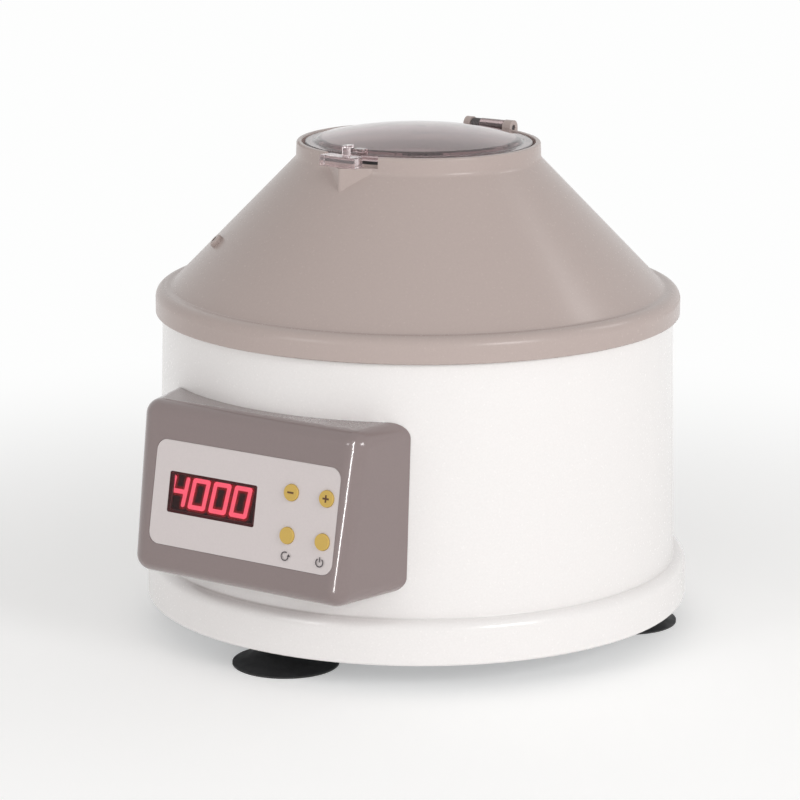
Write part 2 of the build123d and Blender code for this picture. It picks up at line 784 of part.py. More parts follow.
def chamber_bowl():
    """Sheet-metal pan under the rotor; its rim lies on the drum's rim."""
    top_radius = drum_rim_radius - wall - slip_gap
    lip = bowl_floor + bowl_lip
    return turned([
        (bowl_hole, lip), (bowl_hole, bowl_floor, 0.6), (bowl_bottom_radius, bowl_floor, 6),
        (top_radius, drum_rim, 0.4), (bowl_rim_radius, drum_rim), (bowl_rim_radius, bowl_rim_top),
        (top_radius - bowl_sheet, bowl_rim_top, 0.8),
        (bowl_bottom_radius - bowl_sheet, bowl_floor + bowl_sheet, 5),
        (bowl_hole + bowl_sheet, bowl_floor + bowl_sheet), (bowl_hole + bowl_sheet, lip)])


def shaft_seal():
    """Rubber collar that closes the gap between the motor's boss and the bowl."""
    inner = bearing_boss_radius + slip_gap
    outer = bowl_hole - slip_gap
    top = bowl_floor + bowl_lip
    return turned([(inner, can_top + slip_gap), (outer, can_top + slip_gap), (outer, top + 1.5, 1),
                   (shaft_radius + 2, top + 1.5), (shaft_radius + 2, top - 1), (inner, top - 1)])


def cover_gasket():
    outer = bowl_rim_radius - 2
    return tube(outer, outer - 2.6, bowl_rim_top, shoulder_height - wall - slip_gap)


# ================================================================ top cover


def hinge_rod(radius, start, end):
    """Cylinder along the hinge line between two X values."""
    return Pos(start, hinge_y, hinge_z) * Rot(Y=90) * rod(radius, 0, end - start)


def prow_outline(inset):
    """Plan of the pointed pocket below the latch notch."""
    back = prow_root - 8
    outline = make_face(Polyline(
        (0, -prow_reach), (prow_side, -prow_root), (prow_side, -back),
        (-prow_side, -back), (-prow_side, -prow_root), close=True))
    if inset:
        return offset(outline, -inset, kind=Kind.INTERSECTION)
    tip = outline.vertices().sort_by(Axis.Y)[0]
    return fillet(tip, 1.4)


def slider_sweep():
    """Slot in the notch's floor for the slider's stem, over its whole travel."""
    half = stem_half_angle() + 0.6
    return sector(stem_radius - stem_depth / 2 - slip_gap, stem_radius + stem_depth / 2 + slip_gap,
                  stem_angle - half, stem_angle + slider_travel + half,
                  notch_floor - prow_wall - 1, notch_floor + 1)


def stem_half_angle():
    return stem_width / 2 / radians(1) / stem_radius


def foot_half_angle():
    """Half span of the foot that keeps the stem in its slot."""
    return stem_half_angle() * 1.15


def side_port():
    """Place of the small port: its origin on the cone, local Z along the surface normal."""
    radius = cone_top_radius + (cone_top - port_height) / cone_slope
    lift = 90 - Vector(cone_slope, 1, 0).get_angle(Vector(1, 0, 0))
    return Rot(Z=port_angle) * Pos(0, -radius, port_height) * Rot(X=lift)


def top_cover():
    """Conical moulding with its band, collar, lid ledge, latch pocket and hinge ears."""
    shell = turned([
        (band_radius, band_bottom, 0.6), (band_radius, shoulder_height, band_round),
        (cone_foot_radius, shoulder_height, 1.4), (cone_top_radius, cone_top, cone_blend),
        (collar_radius, collar_height, 1.1), (collar_bore, collar_height, 0.6),
        (collar_bore, ledge_height), (mouth_radius, ledge_height, 0.8),
        (mouth_radius, ledge_low), (cone_inside_radius(ledge_low), ledge_low),
        (cone_inside_radius(shoulder_inner), shoulder_inner),
        (bowl_rim_radius - 2 + slip_gap, shoulder_inner),
        (bowl_rim_radius - 2 + slip_gap, bowl_rim_top), (band_inner, bowl_rim_top),
        (band_inner, band_bottom)])
    chamber = turned([
        (0, shoulder_inner), (cone_inside_radius(shoulder_inner), shoulder_inner),
        (cone_inside_radius(ledge_low), ledge_low), (mouth_radius, ledge_low),
        (mouth_radius, collar_height), (0, collar_height)])
    prow_low = cone_top - 20
    prow = Pos(0, 0, prow_low) * extrude(prow_outline(0), notch_floor - prow_low)
    shell += prow - chamber
    pocket = extrude(prow_outline(prow_wall), notch_floor - prow_wall - prow_low)
    shell -= Pos(0, 0, prow_low) * pocket
    shell -= sector(collar_bore - slip_gap, prow_reach + 5, notch_left, notch_right,
                    notch_floor, collar_height + 5)
    shell -= slider_sweep()
    for start, end in ((hinge_left, ear_left_inner), (ear_right_inner, hinge_right)):
        foot = block((start, end), (hinge_y - ear_radius, hinge_y + ear_radius),
                     (cone_top - 3, hinge_z)) - rod(collar_bore, cone_top - 5, hinge_z + 1)
        shell += (hinge_rod(ear_radius, start, end) + foot) - chamber
    shell -= hinge_rod(lug_radius + 0.5, ear_left_inner, ear_right_inner)
    shell -= hinge_rod(pin_radius + running_gap, hinge_left - 1, hinge_right + 1)
    port = fillet(rod(port_radius, -2, port_rise).edges().group_by(Axis.Z)[-1], 1.0)
    shell += side_port() * port
    shell -= side_port() * rod(port_hole, port_rise - 4, port_rise + 1)
    for place in cover_screw_places:
        shell -= place * rod(cover_screw_radius + slip_gap, -band_wall - 1, 1)
    return shell


def cover_screws():
    return group([place * screw(cover_screw_radius, 6, 2.6, 1.6) for place in cover_screw_places])


# ================================================================ lid and its hinge


def dome_arc(radius, edge_height, rise):
    """Arc from the edge of the dome to its crown on the axis."""
    sphere = (radius ** 2 + rise ** 2) / (2 * rise)
    half = radius / 2
    middle = edge_height + rise - sphere + sqrt(sphere ** 2 - half ** 2)
    return ThreePointArc((radius, edge_height), (half, middle), (0, edge_height + rise))


def lid():
    """Clear lid: flat rim, low step and shallow dome, with hinge lug and front tab."""
    step = flange_top + dome_step
    inner = dome_radius - lid_wall
    outer_arc = dome_arc(dome_edge, step, dome_rise)
    inner_arc = dome_arc(dome_edge - lid_wall, step - lid_wall * 0.8, dome_rise - 0.2 * lid_wall)
    skin = make_face([
        outer_arc, Line((0, step + dome_rise), inner_arc @ 1), inner_arc,
        Polyline(inner_arc @ 0, (inner, flange_low), (lid_radius, flange_low),
                 (lid_radius, flange_top), (dome_radius, flange_top), outer_arc @ 0)])
    for corner, rounding in (((dome_edge, step), 3.0), ((lid_radius, flange_top), 0.8),
                             ((dome_radius, flange_top), 1.5)):
        vertex = skin.vertices().sort_by_distance((*corner, 0))[0]
        skin = fillet(vertex, rounding)
    body = revolve(Plane.XZ * skin, Axis.Z)
    body -= block((hinge_left - slip_gap, hinge_right + slip_gap),
                  (hinge_y - ear_radius - 0.6, lid_radius + 5), (flange_low - 1, flange_top + 1))
    arm = block((lug_left, lug_right), (dome_radius + 1, hinge_y), (flange_low, flange_top))
    body += arm + hinge_rod(lug_radius, lug_left, lug_right)
    body -= hinge_rod(pin_radius + running_gap, lug_left - 1, lug_right + 1)
    tab_low = tab_top - tab_thickness
    tab = sector(tab_inner, tab_reach, tab_left, tab_right, tab_low, tab_top)
    tab = fillet(tab.edges().filter_by(Axis.Z).sort_by(Axis.X)[-2:], 1.8)
    side = Plane.YZ * make_face(Polyline(
        (-fin_inner, flange_top - 0.3), (0.9 - lid_radius, flange_top - 0.3),
        (0.9 - lid_radius, slider_top + 0.4), (-fin_reach, slider_top + 0.4),
        (-fin_reach, tab_low + 0.3), (-fin_inner, tab_low + 0.3), close=True))
    fin = Rot(Z=fin_angle) * extrude(side, fin_thickness / 2, both=True)
    return body + tab + fin


def lid_gasket():
    return tube(collar_bore - 1.6, mouth_radius + 0.9, ledge_height, flange_low - slip_gap)


def hinge_pin():
    return hinge_rod(pin_radius, hinge_left + 0.4, hinge_right - 0.4)


def hinge_spring():
    """Closely wound torsion spring round the pin, drawn as one ribbed sleeve."""
    start = ear_left_inner + slip_gap
    turns = int((lug_left - slip_gap - start) / spring_wire)
    bore = pin_radius + slip_gap
    valley = spring_radius - 0.4 * spring_wire
    profile = [(bore, 0)]
    for turn in range(turns):
        profile += [(valley, turn * spring_wire), (spring_radius, (turn + 0.5) * spring_wire)]
    profile += [(valley, turns * spring_wire), (bore, turns * spring_wire)]
    return Pos(start, hinge_y, hinge_z) * Rot(Y=90) * turned(profile)


# ================================================================ latch


def latch_slider():
    """Curved clear slider with its hook above the notch and its stem through the floor."""
    low = notch_floor + running_gap
    bar = sector(slider_inner, slider_outer, slider_left, slider_right, low, slider_top)
    bar = fillet(bar.edges().filter_by(Axis.Z), 1.4)
    bar = fillet(bar.faces().sort_by(Axis.Z)[-1].edges(), 0.6)
    post = sector(tab_reach + slip_gap, hook_outer, hook_left, hook_right, slider_top - 1, hook_top)
    bridge = sector(hook_inner, hook_outer, hook_left, hook_right, hook_top - hook_thickness,
                    hook_top)
    hook = post + bridge
    hook = fillet(hook.edges().filter_by(Axis.Z), 0.9)
    half = stem_half_angle()
    under = notch_floor - prow_wall - slip_gap
    stem = sector(stem_radius - stem_depth / 2, stem_radius + stem_depth / 2,
                  stem_angle - half, stem_angle + half, under - 0.5, low + 0.5)
    foot = sector(stem_radius - stem_depth * 1.2, stem_radius + stem_depth / 2,
                  stem_angle - foot_half_angle(), stem_angle + foot_half_angle(), under - 1.6, under)
    return bar + hook + stem + foot


def lid_switch():
    """Small switch under the collar's ledge, pressed by the slider's foot when locked."""
    foot_edge = radians(stem_angle + slider_travel + foot_half_angle())
    lever_x = stem_radius * sin(foot_edge) + slip_gap
    body_top = ledge_low - 4.5
    body = block((lever_x - 10.8, lever_x + 2.0), (-mouth_radius - 5.4, -mouth_radius - 0.3),
                 (body_top - 6.5, body_top))
    ear = block((lever_x - 8, lever_x - 2), (-mouth_radius - 1.9, -mouth_radius - 0.7),
                (body_top, ledge_low))
    lever = block((lever_x, lever_x + 0.5), (-mouth_radius - 5.8, -mouth_radius - 3.5),
                  (body_top - 0.2, notch_floor - prow_wall - 1.0))
    return body + ear + lever


# ================================================================ control box


def wedge(inset):
    """Wedge-shaped body of the control box, all its walls moved inwards by an inset."""
    flare = (box_rear_half - box_front_half) / (face_distance - box_rear)
    front_y, rear_y = face_distance + 25, box_rear - 17
    front_half = box_front_half - flare * (front_y - face_distance) - inset
    rear_half = box_rear_half + flare * (box_rear - rear_y) - inset
    plan = make_face(Polyline((-rear_half, -rear_y), (-front_half, -front_y),
                              (front_half, -front_y), (rear_half, -rear_y), close=True))
    low, high = box_bottom + inset, box_top - inset
    back = inset / cos(lean)

    def face_y(height):
        return -face_distance - (face_height - height) * tan(lean) + back

    side = make_face(Polyline((-rear_y, low), (face_y(low), low), (face_y(high), high),
                              (-rear_y, high), close=True))
    body = Pos(box_x, 0, low) * extrude(plan, high - low)
    body &= extrude(Plane.YZ * side, rear_half + 5, both=True)
    front = body.faces().sort_by(Axis.Y)[0]
    sides = front.edges().sort_by(lambda edge: abs(edge.center().X - box_x))[-2:]
    body = fillet(sides, box_side_round - inset)
    rims = [edge for face in (body.faces().sort_by(Axis.Z)[0], body.faces().sort_by(Axis.Z)[-1])
            for edge in face.edges() if edge.center().Y < -rear_y - 1]
    return fillet(rims, box_edge_round - inset)


def control_box():
    """Moulded box on the drum's front with its label recess, window, key holes and posts."""
    shell = wedge(0) - wedge(box_wall)
    for x, height in box_screw_places:
        post = Pos(x, -box_rear, height) * Rot(X=90) * rod(box_boss_radius, 0, 50)
        shell += post & wedge(box_wall / 2)
    for x, y in board_corners:
        post = face_disc(3.2, x, y, inner_face + 0.5, -board_front - box_wall + 0.5)
        shell += post - face_disc(1.0, x, y, board_front + 5, 6)
    shell -= drum_body(slip_gap / 2)
    for x, height in box_screw_places:
        shell -= Pos(x, -box_rear, height) * Rot(X=90) * rod(box_screw_radius + running_gap, 0, 26)
    shell -= face_slab(label_width + slip_gap, label_height + slip_gap, label_round, 0, 0, 5,
                       5 + label_recess)
    shell -= face_slab(window_width, window_height, window_round, window_x, window_y, 5,
                       5 - label_front + lens_thickness)
    shell -= face_slab(window_width - 3, window_height - 3, window_round, window_x, window_y, 5,
                       6 + box_wall)
    for x, y in button_centres.values():
        shell -= face_disc(button_radius + 2 * running_gap, x, y, 5, 6 + box_wall)
    return shell


def label_plate():
    plate = face_slab(label_width, label_height, label_round, 0, 0, label_front, label_thickness)
    plate -= face_slab(window_width, window_height, window_round, window_x, window_y, 1, 3)
    for x, y in button_centres.values():
        plate -= face_disc(button_radius + 2 * running_gap, x, y, 1, 3)
    return plate


def display_lens():
    return face_slab(window_width - 2 * running_gap, window_height - 2 * running_gap, window_round,
                     window_x, window_y, label_front, lens_thickness)


def display_module():
    """Four-digit display block behind the window, with its cell joints."""
    width, height = window_width + 0.6, window_height - 0.2
    module = face_slab(width, height, 0.6, window_x, window_y, display_front, display_depth)
    for index in (-1, 0, 1):
        module -= face_slab(0.5, height + 2, 0.2, window_x + index * width / 4, window_y,
                            display_front + 1, 1.8)
    return module


def push_button(x, y):
    """Key cap with a retaining flange behind the face and a stem to its switch."""
    cap = face_disc(button_radius, x, y, button_rise, button_rise + box_wall + running_gap)
    cap = fillet(cap.edges().sort_by(Axis.Y)[0], 0.5)
    top = inner_face - running_gap
    flange = face_disc(button_radius + button_flange, x, y, top, 1.0)
    plunger_top = board_front + switch_height + plunger_height
    stem = face_disc(1.6, x, y, top, top - (plunger_top + button_travel + 0.1))
    return cap + flange + stem


def button_switches():
    switches = []
    for x, y in button_centres.values():
        body = face_slab(6, 6, 0.4, x, y, board_front + switch_height, switch_height)
        plunger = face_disc(1.7, x, y, board_front + switch_height + plunger_height,
                            plunger_height + 0.5)
        switches.append(body + plunger)
    return group(switches)


def circuit_board():
    board = face_slab(board_width, board_height, 1.5, board_x, 0, board_front, board_thickness)
    for x, y in board_corners:
        board -= face_disc(1.3, x, y, board_front + 1, board_thickness + 2)
    chip = face_slab(12, 12, 0.5, board_x + 14, 0, board_rear + 0.2, 2.0)
    plug = face_slab(20, 6, 0.5, board_x - 22, -8, board_rear + 0.2, 6.0)
    return board + chip + plug


def board_screws():
    place = Rot(X=180) * screw(1.0 - running_gap, 5, 2.3, 1.5)
    return group([face_plane * Pos(x, y, board_rear) * place for x, y in board_corners])


def box_screws():
    """Screws from inside the drum into the posts of the control box."""
    one = Rot(X=-90) * screw(box_screw_radius, 17, 3.2, 2.2)
    return group([Pos(x, -box_screw_seat, height) * one for x, height in box_screw_places])


# ================================================================ mains entry and supply


def mains_inlet():
    """Appliance inlet with an open socket, its flange on the flat panel."""
    outside = recess_floor + inlet_flange_thickness
    half_w, half_h = inlet_width / 2, inlet_height / 2
    flange = block((-inlet_flange_width / 2, inlet_flange_width / 2), (recess_floor, outside),
                   (inlet_z - inlet_flange_height / 2, inlet_z + inlet_flange_height / 2))
    flange = fillet(flange.edges().filter_by(Axis.Y), 3)
    body = block((-half_w, half_w), (recess_floor - inlet_depth, outside),
                 (inlet_z - half_h, inlet_z + half_h))
    socket = block((-half_w + 1.6, half_w - 1.6), (outside - 17, outside + 1),
                   (inlet_z - half_h + 1.8, inlet_z + half_h - 1.8))
    socket = chamfer(socket.edges().filter_by(Axis.Y).group_by(Axis.Z)[-1], 4)
    inlet = flange + body - socket
    for side in (-1, 1):
        place = Pos(side * inlet_screw_spacing / 2, recess_floor, inlet_z) * Rot(X=-90)
        inlet -= place * rod(box_screw_radius + running_gap, -1, inlet_flange_thickness + 1)
    return inlet


def inlet_pins():
    floor = recess_floor + inlet_flange_thickness - 17
    return group([block((x - 1, x + 1), (floor, floor + 14.5), (inlet_z + z - 2, inlet_z + z + 2))
                  for x, z in ((-7, -1.5), (0, 2.5), (7, -1.5))])


def inlet_screws():
    outside = recess_floor + inlet_flange_thickness
    one = Rot(X=-90) * screw(box_screw_radius, 9, 2.8, 1.8)
    return group([Pos(side * inlet_screw_spacing / 2, outside, inlet_z) * one for side in (-1, 1)])


def fuse_holder():
    """Round fuse holder and its screw-in cap, which has a coin slot."""
    place = Pos(0, recess_floor, fuse_z) * Rot(X=-90)
    body = rod(fuse_radius, -fuse_length, 0) + rod(fuse_cap_radius, 0, 1.8)
    body -= rod(fuse_radius - 1.6, -fuse_length + 2, 3)
    knob = turned([(0, 1.8), (fuse_cap_radius - 0.6, 1.8), (fuse_cap_radius - 1.0, 8, 1), (0, 8)])
    stem = rod(fuse_radius - 1.6 - running_gap, -6, 1.8)
    cap = knob + stem - Pos(0, 0, 8) * Box(9, 1.4, 3)
    return group([place * body, place * cap])


def transformer_core():
    """Laminated core on the base plate, with a window each side of its middle leg."""
    depth, width, height = transformer_size
    core = block((-depth * 0.28, depth * 0.28), (-width / 2, width / 2), (0, height))
    window = block((-depth, depth), (width / 6, width / 3), (height / 6, height * 5 / 6))
    core -= window
    core -= Rot(Z=180) * window
    return Pos(transformer_x, 0, base_plate_top) * core


def transformer_coil():
    depth, width, height = transformer_size
    coil = block((-depth / 2, depth / 2), (-width / 3 + slip_gap, width / 3 - slip_gap),
                 (height / 6 + slip_gap, height * 5 / 6 - slip_gap))
    coil = fillet(coil.edges().filter_by(Axis.Z), 3)
    leg = block((-depth * 0.28, depth * 0.28), (-width / 6, width / 6), (0, height))
    return Pos(transformer_x, 0, base_plate_top) * (coil - leg)


def supply_unit():
    """Supply board with its standoffs, relay, capacitors and heat sink."""
    size_x, size_y, size_z = supply_board_size
    foot = base_plate_top
    low = foot + supply_standoff + size_z
    board = block((supply_x - size_x / 2, supply_x + size_x / 2), (-size_y / 2, size_y / 2),
                  (low - size_z, low))
    standoffs = [rod(3, foot, low - size_z, supply_x + side * (size_x / 2 - 4), end * (size_y / 2 - 4))
                 for side in (-1, 1) for end in (-1, 1)]
    relay = block((supply_x - 13, supply_x + 3), (-30, -10), (low, low + 15))
    caps = [rod(5, low, low + 20, supply_x - 7, 2), rod(5, low, low + 20, supply_x - 7, 14)]
    sink = block((supply_x + 6, supply_x + 15), (-20, 24), (low, low + 24))
    for index in range(5):
        middle = -14 + index * 8
        sink -= block((supply_x + 8.5, supply_x + 16), (middle - 2, middle + 2), (low + 3, low + 30))
    return group([board, *standoffs, relay, *caps, sink])


# ================================================================ assembly


def build():
    """Every piece by name, drawn about the drum's axis."""
    foot = Pos(foot_circle, 0, 0) * suction_foot()
    pieces = {
        "body_housing": body_housing(), "base_plate": base_plate(), "base_screws": base_screws(),
        "foot_front": Rot(Z=foot_turn) * foot, "foot_right": Rot(Z=foot_turn + 120) * foot,
        "foot_left": Rot(Z=foot_turn + 240) * foot, "foot_studs": foot_studs(), "lock_nuts": lock_nuts(),
        "rubber_mounts": rubber_mounts(), "mount_bolts": mount_bolts(),
        "motor_cradle": motor_cradle(), "motor_housing": motor_housing(),
        "motor_end_cap": motor_end_cap(), "motor_bearings": motor_bearings(),
        "motor_screws": motor_screws(), "field_core": field_core(), "field_coils": field_coils(),
        "brush_holders": brush_holders(), "carbon_brushes": carbon_brushes(),
        "armature_core": armature_core(), "armature_windings": armature_windings(),
        "commutator": commutator(), "motor_shaft": motor_shaft(), "speed_disc": speed_disc(),
        "speed_sensor": speed_sensor(), "rotor_head": rotor_head(), "tube_sleeves": tube_sleeves(),
        "last_sleeve": tube_sleeve(sleeve_count - 1), "sleeve_cushions": sleeve_cushions(),
        "rotor_nut": rotor_nut(),
        "chamber_bowl": chamber_bowl(), "shaft_seal": shaft_seal(), "cover_gasket": cover_gasket(),
        "top_cover": top_cover(), "cover_screws": cover_screws(), "lid": lid(),
        "lid_gasket": lid_gasket(), "hinge_pin": hinge_pin(), "hinge_spring": hinge_spring(),
        "latch_slider": latch_slider(), "lid_switch": lid_switch(), "control_box": control_box(),
        "label_plate": label_plate(), "display_lens": display_lens(),
        "display_module": display_module(), "button_switches": button_switches(),
        "circuit_board": circuit_board(), "board_screws": board_screws(),
        "box_screws": box_screws(), "mains_inlet": mains_inlet(), "inlet_pins": inlet_pins(),
        "inlet_screws": inlet_screws(), "fuse_holder": fuse_holder(),
        "transformer_core": transformer_core(), "transformer_coil": transformer_coil(),
        "supply_unit": supply_unit(),
    }
    for name, (x, y) in button_centres.items():
        pieces[name] = push_button(x, y)
    return pieces


pieces = build()
footprint = [pieces[name].bounding_box() for name in ("body_housing", "control_box")]
axis_y = -(min(box.min.Y for box in footprint) + max(box.max.Y for box in footprint)) / 2

os.makedirs("parts", exist_ok=True)
for name, piece in pieces.items():
    export_step(Pos(0, axis_y, 0) * piece, f"parts/{name}.step")
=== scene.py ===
import json
from math import atan2, cos, pi, radians, sin

import bmesh
import bpy
from mathutils import Matrix, Vector

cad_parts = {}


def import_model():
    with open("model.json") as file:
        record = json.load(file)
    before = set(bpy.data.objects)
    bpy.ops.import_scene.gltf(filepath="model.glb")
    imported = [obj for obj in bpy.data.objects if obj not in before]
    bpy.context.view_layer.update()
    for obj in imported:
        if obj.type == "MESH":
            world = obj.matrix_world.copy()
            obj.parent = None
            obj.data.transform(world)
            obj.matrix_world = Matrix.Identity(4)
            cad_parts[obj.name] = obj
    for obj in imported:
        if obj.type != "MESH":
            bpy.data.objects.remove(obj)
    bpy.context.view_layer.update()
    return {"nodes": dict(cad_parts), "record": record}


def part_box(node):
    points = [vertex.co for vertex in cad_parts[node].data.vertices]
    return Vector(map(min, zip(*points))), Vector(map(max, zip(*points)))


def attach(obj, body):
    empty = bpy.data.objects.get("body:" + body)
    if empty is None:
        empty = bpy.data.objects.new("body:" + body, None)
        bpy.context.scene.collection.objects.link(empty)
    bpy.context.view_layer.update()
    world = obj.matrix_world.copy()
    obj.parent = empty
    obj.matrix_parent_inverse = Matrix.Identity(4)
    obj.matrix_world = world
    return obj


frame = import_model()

nodes = frame["nodes"]
shaft_low, shaft_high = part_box("motor_shaft")
AXIS_Y = (shaft_low[1] + shaft_high[1]) / 2


# ---------------------------------------------------------------- materials


class Surface:
    """A Principled material with noise for its colour, roughness and fine relief."""

    def __init__(self, name, colour, roughness, metallic=0.0):
        self.material = bpy.data.materials.new(name)
        self.material.use_nodes = True
        self.tree = self.material.node_tree
        self.shader = self.tree.nodes["Principled BSDF"]
        self.colour = colour
        self.shader.inputs["Base Color"].default_value = (*colour, 1)
        self.shader.inputs["Roughness"].default_value = roughness
        self.shader.inputs["Metallic"].default_value = metallic
        self.coordinates = self.tree.nodes.new("ShaderNodeTexCoord")

    def node(self, kind, **values):
        """New node in the material's tree, with its settings."""
        made = self.tree.nodes.new(kind)
        for key, value in values.items():
            setattr(made, key, value)
        return made

    def link(self, start, end):
        self.tree.links.new(start, end)

    def noise(self, scale, detail, stretch):
        """Noise in the piece's own coordinates, stretched along its axes."""
        mapping = self.node("ShaderNodeMapping")
        mapping.inputs["Scale"].default_value = stretch
        self.link(self.coordinates.outputs["Object"], mapping.inputs["Vector"])
        noise = self.node("ShaderNodeTexNoise")
        noise.inputs["Scale"].default_value = scale
        noise.inputs["Detail"].default_value = detail
        self.link(mapping.outputs["Vector"], noise.inputs["Vector"])
        return noise.outputs["Fac"]

    def mottle(self, scale, amount, detail=3.0, stretch=(1, 1, 1)):
        """The colour wanders a little, lighter and darker, at this scale."""
        ramp = self.node("ShaderNodeValToRGB")
        low = [max(0, c * (1 - amount)) for c in self.colour]
        high = [min(1, c * (1 + amount)) for c in self.colour]
        ramp.color_ramp.elements[0].position = 0.35
        ramp.color_ramp.elements[0].color = (*low, 1)
        ramp.color_ramp.elements[1].position = 0.65
        ramp.color_ramp.elements[1].color = (*high, 1)
        self.link(self.noise(scale, detail, stretch), ramp.inputs["Fac"])
        self.link(ramp.outputs["Color"], self.shader.inputs["Base Color"])
        return self

    def gloss(self, scale, low, high, detail=4.0, stretch=(1, 1, 1)):
        """Roughness between two values at this scale."""
        spread = self.node("ShaderNodeMapRange")
        spread.inputs["From Min"].default_value = 0.3
        spread.inputs["From Max"].default_value = 0.7
        spread.inputs["To Min"].default_value = low
        spread.inputs["To Max"].default_value = high
        self.link(self.noise(scale, detail, stretch), spread.inputs["Value"])
        self.link(spread.outputs["Result"], self.shader.inputs["Roughness"])
        return self

    def relief(self, scale, distance, strength, detail=2.0, stretch=(1, 1, 1)):
        """Fine bumps of this height, in metres, at this scale."""
        bump = self.node("ShaderNodeBump")
        bump.inputs["Strength"].default_value = strength
        bump.inputs["Distance"].default_value = distance
        self.link(self.noise(scale, detail, stretch), bump.inputs["Height"])
        self.link(bump.outputs["Normal"], self.shader.inputs["Normal"])
        return self

    def set(self, **values):
        """Sets inputs of the shader; a name's underscores stand for spaces."""
        for key, value in values.items():
            self.shader.inputs[key.replace("_", " ")].default_value = value
        return self


def moulded(name, colour, roughness, coat=0.0, specular=0.5):
    """Moulded plastic with a very fine grain and, where it has one, a glossy coat."""
    made = Surface(name, colour, roughness)
    made.mottle(1000, 0.012, 2.0).gloss(800, roughness * 0.95, roughness * 1.06, 2.0)
    made.relief(1400, 0.00002, 0.05)
    made.set(Coat_Weight=coat, Coat_Roughness=0.06, Specular_IOR_Level=specular)
    return made.material


def metal(name, colour, roughness, stretch=(1, 1, 1)):
    """Bare metal; the stretch draws its grain out along one way."""
    made = Surface(name, colour, roughness, 1.0)
    made.mottle(60, 0.06, 4, stretch).gloss(260, roughness * 0.75, roughness * 1.3, 4, stretch)
    made.relief(700, 0.00003, 0.2, 2, stretch)
    return made.material


def rubber(name, colour):
    """Dull, slightly rough material for rubber and pressed carbon."""
    made = Surface(name, colour, 0.62)
    made.mottle(90, 0.15).gloss(200, 0.5, 0.75).relief(600, 0.00008, 0.4)
    return made.material


def clear_plastic(name, colour, roughness, shade, clarity):
    """Clear moulding; the lamps shine through it, tinted by its shade."""
    made = Surface(name, colour, roughness)
    made.set(Transmission_Weight=clarity, IOR=1.49)
    made.gloss(60, roughness * 0.5, roughness * 2.5).relief(22, 0.0012, 0.05)
    through = made.node("ShaderNodeBsdfTransparent")
    through.inputs["Color"].default_value = (*shade, 1)
    path = made.node("ShaderNodeLightPath")
    mix = made.node("ShaderNodeMixShader")
    made.link(path.outputs["Is Shadow Ray"], mix.inputs["Fac"])
    made.link(made.shader.outputs["BSDF"], mix.inputs[1])
    made.link(through.outputs["BSDF"], mix.inputs[2])
    made.link(mix.outputs["Shader"], made.tree.nodes["Material Output"].inputs["Surface"])
    return made.material


white_shell = moulded("white_shell", (0.86, 0.835, 0.825), 0.26, 0.25)
grey_cover = moulded("grey_cover", (0.475, 0.394, 0.368), 0.26, 0.0, 0.3)
grey_box = moulded("grey_box", (0.240, 0.187, 0.182), 0.20, 0.6, 0.35)
black_plastic = moulded("black_plastic", (0.025, 0.025, 0.026), 0.4)
label_film = moulded("label_film", (0.66, 0.60, 0.595), 0.42)
yellow_key = moulded("yellow_key", (0.60, 0.40, 0.085), 0.38)
dark_ink = moulded("dark_ink", (0.05, 0.04, 0.045), 0.5)
key_ink = moulded("key_ink", (0.09, 0.028, 0.006), 0.5)
display_black = moulded("display_black", (0.018, 0.010, 0.010), 0.45)
board_green = moulded("board_green", (0.03, 0.15, 0.06), 0.35)
clear_lid = clear_plastic("clear_lid", (0.54, 0.42, 0.425), 0.03, (0.92, 0.90, 0.90), 0.95)
clear_slider = clear_plastic("clear_slider", (0.84, 0.74, 0.75), 0.05, (0.9, 0.88, 0.88), 0.92)
black_rubber = rubber("black_rubber", (0.018, 0.018, 0.019))
grey_rubber = rubber("grey_rubber", (0.06, 0.055, 0.055))
stainless = metal("stainless", (0.60, 0.585, 0.58), 0.28)
bright_steel = metal("bright_steel", (0.62, 0.61, 0.60), 0.22)
zinc_steel = metal("zinc_steel", (0.52, 0.52, 0.50), 0.34)
cast_metal = metal("cast_metal", (0.56, 0.545, 0.55), 0.42)
sleeve_metal = metal("sleeve_metal", (0.66, 0.64, 0.65), 0.30, (1, 1, 0.1))
spring_steel = metal("spring_steel", (0.10, 0.09, 0.09), 0.30)
lamination = metal("lamination", (0.20, 0.19, 0.185), 0.5, (0.2, 0.2, 6))
copper = metal("copper", (0.60, 0.26, 0.12), 0.3, (0.3, 0.3, 5))
brass = metal("brass", (0.62, 0.45, 0.20), 0.28)
carbon = rubber("carbon", (0.02, 0.02, 0.02))
steel_plate = moulded("steel_plate", (0.36, 0.37, 0.38), 0.45)
motor_paint = moulded("motor_paint", (0.035, 0.038, 0.042), 0.4)


def red_window():
    """Dark red filter that lets the lit digits through."""
    made = Surface("red_window", (0.50, 0.17, 0.19), 0.08)
    made.set(Transmission_Weight=1.0, IOR=1.3)
    made.gloss(80, 0.05, 0.12).relief(60, 0.0004, 0.05)
    return made.material


def lit_red(name, colour, strength, alpha=1.0):
    """Glowing segment, or with an alpha the glow that spreads round it."""
    made = Surface(name, (0.6, 0.05, 0.08), 0.5)
    made.mottle(500, 0.1)
    made.set(Emission_Color=(*colour, 1), Emission_Strength=strength, Alpha=alpha)
    return made.material


window_red = red_window()
digit_red = lit_red("digit_red", (1.0, 0.40, 0.55), 1.7)
digit_glow = lit_red("digit_glow", (1.0, 0.02, 0.06), 0.7, 0.08)

